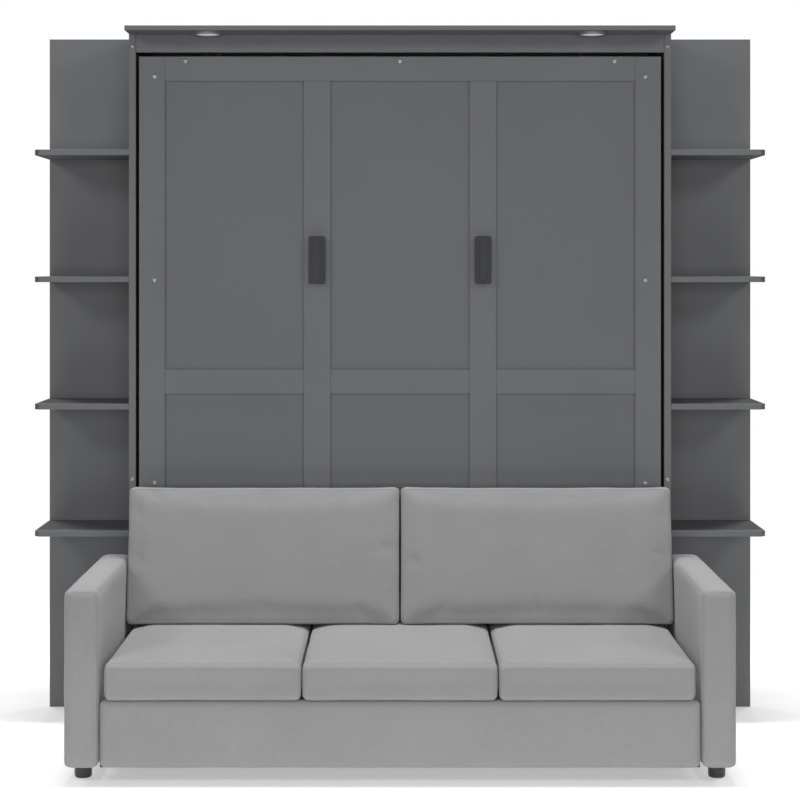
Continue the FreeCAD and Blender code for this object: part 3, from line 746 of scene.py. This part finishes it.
# From the floor up: how far inside the foot's full radius, and the height.
FOOT_TREAD = (
    (0.007, 0.0), (0.0045, 0.0006), (0.002, 0.0025), (0.0006, 0.0052), (0.0002, 0.009),
    (0.0, 0.014),
)
FOOT_WAIST = ((0.0, 0.0295), (0.0008, 0.0302), (0.0008, 0.0312), (0.0, 0.0319))
FOOT_NECK = 0.003                 # from the top down to where the foot draws in

HANDLE_PLATE = 0.008
HANDLE_CORNER = 0.006
HANDLE_CORNER_STEPS = 5
HANDLE_POST_INSET = 0.022
# How far inside the plate's outline, and how far from its front or back face.
HANDLE_EDGE = ((0.003, 0.0), (0.0009, 0.0009), (0.0, 0.003))
HANDLE_DISH = (
    (0.006, 0.0), (0.0085, 0.0007), (0.012, 0.002), (0.0165, 0.0027), (0.02, 0.003),
)
# Radius, and distance from the door; then radius, and distance from the plate's back.
POST_FOOT = ((0.011, 0.0), (0.0108, 0.001), (0.0088, 0.0028), (0.008, 0.006))
POST_TOP = ((0.008, -0.004), (0.0085, -0.0015), (0.01, 0.001))

BOLT_HEAD = 0.0025
BOLT_SHANK = 0.003
# How far inside the full radius, and how far below the crown; then the socket's own radius,
# and how far below the crown.
BOLT_RIM = ((0.0, BOLT_HEAD), (0.0, 0.0014), (0.0005, 0.0007), (0.0019, 0.0001), (0.003, 0.0))
BOLT_SOCKET = ((0.0029, 0.0), (0.0026, 0.0003), (0.0025, 0.0016))

# Radius, and distance from the rail: a washer, and a domed head with a recess.
SCREW_OUTLINE = (
    (0.009, 0.0), (0.009, 0.0012), (0.0062, 0.0014), (0.006, 0.0028), (0.0045, 0.0042),
    (0.002, 0.0048), (0.0016, 0.003),
)


def lathe(bm, profile, centre, axis, segments=40):
    """A closed turned form. profile lists (radius, distance along the axis from centre)."""
    turn = Vector((0, 0, 1)).rotation_difference(Vector(axis)).to_matrix()
    outlines = []
    for radius, reach in profile:
        outline = []
        for number in range(segments):
            angle = math.tau * number / segments
            spot = Vector((radius * math.cos(angle), radius * math.sin(angle), reach))
            outline.append(Vector(centre) + turn @ spot)
        outlines.append(outline)
    stack(bm, outlines)


def stack(bm, outlines):
    """A closed form through outlines that have the same number of points."""
    rings = [[bm.verts.new(spot) for spot in outline] for outline in outlines]
    count = len(rings[0])
    for lower, upper in zip(rings, rings[1:]):
        for number in range(count):
            after = (number + 1) % count
            bm.faces.new((lower[number], lower[after], upper[after], upper[number]))
    bm.faces.new(list(reversed(rings[0])))
    bm.faces.new(rings[-1])


def upright_outline(low, high, y, inset):
    """The outline of a handle's plate at depth y: a rounded rectangle that faces the front."""
    outline = []
    half_x = (high.x - low.x) / 2 - inset
    half_z = (high.z - low.z) / 2 - inset
    corner = max(HANDLE_CORNER - inset, 0.001)
    middle = (low + high) / 2
    for quarter, (side_x, side_z) in enumerate(((1, 1), (-1, 1), (-1, -1), (1, -1))):
        for step in range(HANDLE_CORNER_STEPS + 1):
            turn = (quarter + step / HANDLE_CORNER_STEPS) * math.pi / 2
            x = middle.x + side_x * (half_x - corner) + corner * math.cos(turn)
            z = middle.z + side_z * (half_z - corner) + corner * math.sin(turn)
            outline.append(Vector((x, y, z)))
    return outline


def carried(name, bm, finish, body, node=None):
    """Makes the form a piece that rides on body, in place of node where one is given."""
    mesh = bpy.data.meshes.new(name)
    bm.to_mesh(mesh)
    bm.free()
    made = new_object(name, mesh)
    mesh.materials.append(finish)
    mesh.polygons.foreach_set("use_smooth", [True] * len(mesh.polygons))
    mesh.set_sharp_from_angle(angle=SMOOTH_ANGLE)
    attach(made, body)
    if node:
        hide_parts(node)


def loose_parts(node):
    """The lowest and highest corner of each separate solid of a node."""
    bm = bmesh.new()
    bm.from_mesh(frame["nodes"][node].data)
    bmesh.ops.remove_doubles(bm, verts=bm.verts, dist=0.00001)
    left = set(bm.verts)
    boxes = []
    while left:
        found = [left.pop()]
        for vertex in found:
            for edge in vertex.link_edges:
                other = edge.other_vert(vertex)
                if other in left:
                    left.remove(other)
                    found.append(other)
        spots = np.array([vertex.co for vertex in found])
        boxes.append((Vector(spots.min(0)), Vector(spots.max(0))))
    bm.free()
    return boxes


def feet(finish):
    """Turned feet with a rounded tread, a waist line and a slightly smaller neck."""
    bm = bmesh.new()
    for low, high in loose_parts("sofa_feet"):
        radius = (high.x - low.x) / 2
        top = high.z - low.z
        centre = ((low.x + high.x) / 2, (low.y + high.y) / 2, low.z)
        profile = [(radius - inset, height) for inset, height in FOOT_TREAD + FOOT_WAIST]
        profile += [(radius, top - FOOT_NECK), (radius - 0.0007, top)]
        lathe(bm, profile, centre, (0, 0, 1))
    carried("turned_feet", bm, finish, "root", "sofa_feet")


def handles(finish):
    """Pull handles: a plate with rounded edges and a shallow finger dish, on two flared posts."""
    for side, _ in SIDES:
        node = side + "_handle"
        low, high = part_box(node)
        back = low.y + HANDLE_PLATE
        levels = [(inset, back - depth) for inset, depth in HANDLE_EDGE]
        levels += [(inset, low.y + depth) for inset, depth in reversed(HANDLE_EDGE)]
        levels += [(inset, low.y + depth) for inset, depth in HANDLE_DISH]
        bm = bmesh.new()
        stack(bm, [upright_outline(low, high, y, inset) for inset, y in levels])
        room = high.y - back
        profile = list(POST_FOOT) + [(radius, room + reach) for radius, reach in POST_TOP]
        middle = (low.x + high.x) / 2
        for z in (low.z + HANDLE_POST_INSET, high.z - HANDLE_POST_INSET):
            lathe(bm, profile, (middle, high.y, z), (0, -1, 0))
        carried(side + "_pull", bm, finish, "bed", node)


def bolt_heads(finish):
    """Zinc bolts: a domed head with a bevelled rim and a socket, and a shank where it shows."""
    for node, body in (("door_bolts", "bed"), ("cabinet_edge_bolts", "root")):
        bm = bmesh.new()
        for low, high in loose_parts(node):
            radius = (high.x - low.x) / 2
            depth = high.y - low.y
            centre = ((low.x + high.x) / 2, high.y, (low.z + high.z) / 2)
            profile = [(radius - inset, depth - below) for inset, below in BOLT_RIM]
            profile += [(socket, depth - below) for socket, below in BOLT_SOCKET]
            if depth > BOLT_HEAD + 0.001:
                profile = [(BOLT_SHANK, 0.0), (BOLT_SHANK, depth - BOLT_HEAD)] + profile
            lathe(bm, profile, centre, (0, -1, 0), SCREW_SEGMENTS)
        carried(node + "_turned", bm, finish, body, node)


def wall_screws(finish):
    """The four screws that hold the cabinet to the wall, with washers."""
    mount = next(m for m in frame["record"]["mounts"] if m["name"] == "wall_screws")
    half_x = mount["dims"]["spacing_x_mm"] / 2000
    half_z = mount["dims"]["spacing_y_mm"] / 2000
    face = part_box("rear_top_rail")[0].y
    bm = bmesh.new()
    for side_x in (-1, 1):
        for side_z in (-1, 1):
            x = side_x * half_x
            z = mount["pos_m"][2] + side_z * half_z
            lathe(bm, SCREW_OUTLINE, (x, face, z), (0, -1, 0), SCREW_SEGMENTS)
    carried("wall_screw_heads", bm, finish, "root")


# ---- studio -------------------------------------------------------------------------------
CAMERA_DISTANCE = 6.8
CAMERA_HEIGHT = 1.453
FOCAL_LENGTH = 96.5
SENSOR_WIDTH = 36.0
HORIZON_ABOVE_MIDDLE = 0.165

SKY_LIGHT = 0.1                   # what the white surroundings give off as light
SKY_SEEN = 1.0                    # and how bright the camera sees them
AIM = (0.0, -0.1, 0.9)
# Name, place, what it points at, width, height and power in watts.
SOFT_BOXES = (
    ("key_left", (-4.4, -5.6, 4.1), AIM, 1.3, 1.3, 105),
    ("key_right", (4.4, -5.6, 4.1), AIM, 1.3, 1.3, 105),
    ("front_fill", (0.0, -8.0, 1.5), AIM, 4.0, 2.4, 170),
    ("overhead", (0.0, -0.25, 7.0), (0.0, -0.25, 0.0), 3.0, 0.7, 450),
    ("rear_left", (-4.5, 5.5, 3.4), AIM, 2.5, 2.5, 190),
    ("rear_right", (4.5, 5.5, 3.4), AIM, 2.5, 2.5, 190),
)

FLOOR_RADIUS = 6.0
FLOOR_FADE = (1.6, 3.6)           # solid within the first radius and gone from the second
FLOOR_TONE = 0.72
FLOOR_GLOW = 0.4


def camera():
    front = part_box("left_side_panel")[0].y
    data = bpy.data.cameras.new("camera")
    data.lens = FOCAL_LENGTH
    data.sensor_width = SENSOR_WIDTH
    data.shift_y = -HORIZON_ABOVE_MIDDLE
    data.clip_end = 100.0
    made = new_object("camera", data)
    made.location = (0.0, front - CAMERA_DISTANCE, CAMERA_HEIGHT)
    made.rotation_euler = (math.pi / 2, 0.0, 0.0)
    bpy.context.scene.camera = made


def soft_box(name, place, aim, width, height, power):
    data = bpy.data.lights.new(name, "AREA")
    data.shape = "RECTANGLE"
    data.size = width
    data.size_y = height
    data.energy = power
    made = new_object(name, data)
    made.location = place
    made.rotation_euler = (Vector(aim) - Vector(place)).to_track_quat("-Z", "Y").to_euler()


def studio():
    scene = bpy.context.scene
    scene.view_settings.view_transform = "Standard"
    world = bpy.data.worlds.new("studio")
    world.use_nodes = True
    sky = world.node_tree.nodes["Background"]
    sky.inputs["Color"].default_value = (1.0, 1.0, 1.0, 1.0)
    rays = world.node_tree.nodes.new("ShaderNodeLightPath")
    level = world.node_tree.nodes.new("ShaderNodeMapRange")
    level.inputs["To Min"].default_value = SKY_LIGHT
    level.inputs["To Max"].default_value = SKY_SEEN
    world.node_tree.links.new(rays.outputs["Is Camera Ray"], level.inputs["Value"])
    world.node_tree.links.new(level.outputs[0], sky.inputs["Strength"])
    scene.world = world
    for name, place, aim, width, height, power in SOFT_BOXES:
        soft_box(name, place, aim, width, height, power)


def floor():
    """A pale round floor that fades out away from the object."""
    bm = bmesh.new()
    bmesh.ops.create_circle(bm, cap_ends=True, segments=96, radius=FLOOR_RADIUS)
    mesh = bpy.data.meshes.new("floor")
    bm.to_mesh(mesh)
    bm.free()
    made = new_object("floor", mesh)
    s = Shader("floor_white")
    distance = s.add("ShaderNodeVectorMath", s.place, operation="LENGTH").outputs["Value"]
    fade = s.add("ShaderNodeMapRange", distance, interpolation_type="SMOOTHSTEP")
    fade.inputs["From Min"].default_value = FLOOR_FADE[0]
    fade.inputs["From Max"].default_value = FLOOR_FADE[1]
    fade.inputs["To Min"].default_value = 1.0
    fade.inputs["To Max"].default_value = 0.0
    s.finish(Alpha=fade.outputs[0], Roughness=0.9)
    s.surface.inputs["Base Color"].default_value = (FLOOR_TONE, FLOOR_TONE, FLOOR_TONE, 1.0)
    s.surface.inputs["Emission Color"].default_value = (1.0, 1.0, 1.0, 1.0)
    s.surface.inputs["Emission Strength"].default_value = FLOOR_GLOW
    mesh.materials.append(s.material)


# ---- the scene ----------------------------------------------------------------------------
camera()
studio()
floor()
finishes = dress_cad_nodes()
seat_cushions(finishes["linen"])
back_cushions(finishes["linen"])
arms_and_front(finishes["linen"])
mattress(finishes["mattress_ticking"])
feet(finishes["foot_plastic"])
handles(finishes["handle_plastic"])
bolt_heads(finishes["zinc"])
wall_screws(finishes["zinc"])
